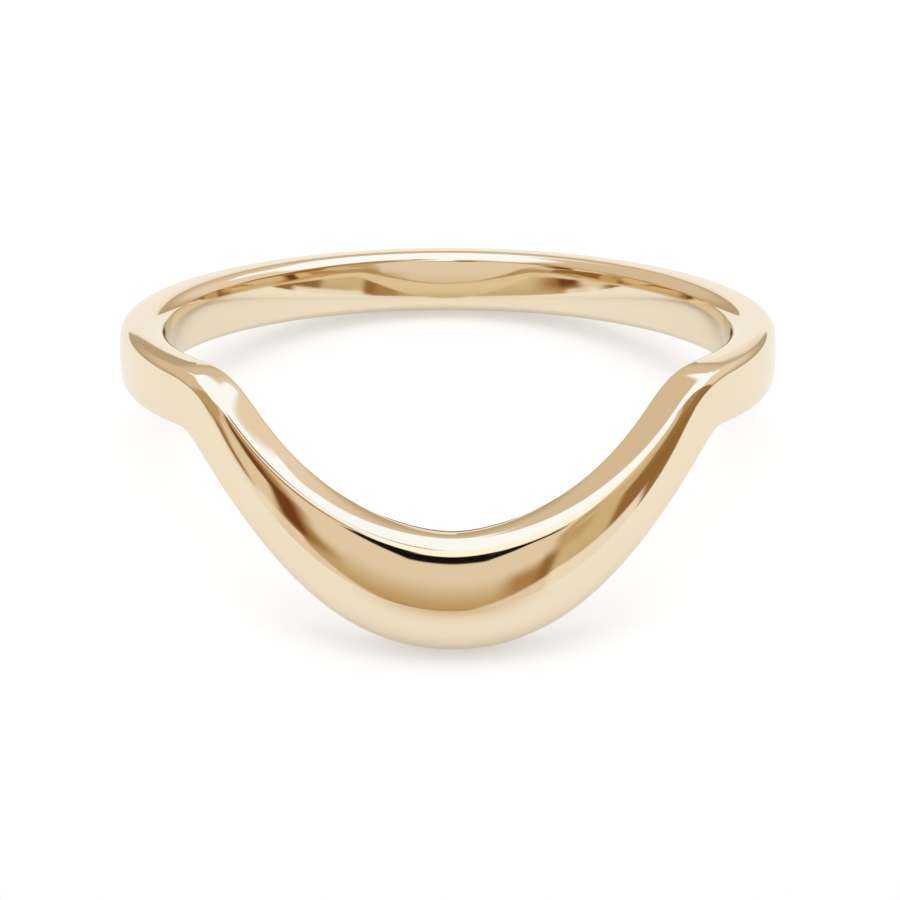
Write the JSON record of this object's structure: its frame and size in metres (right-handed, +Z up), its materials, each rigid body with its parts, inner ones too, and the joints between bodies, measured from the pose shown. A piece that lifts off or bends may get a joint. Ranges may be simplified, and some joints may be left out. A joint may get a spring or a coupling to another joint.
{
  "type": "curved wedding band",
  "caption": "Plain polished finger ring of one piece, round at the back and sides, whose front dips in a smooth U so that it nests against another ring.",
  "frame": {"origin": "bottom centre of the ring's box, on the table it rests on", "axes": "+Z up from the table; -Y towards the front of the ring, where the U dips to the table; X across the ring, its plane of symmetry is X = 0"},
  "size_m": [0.0192, 0.0204, 0.0062],
  "materials": {
    "gold": "high polish"
  },
  "bodies": {
    "root": {"band": "gold"}
  },
  "joints": []
}
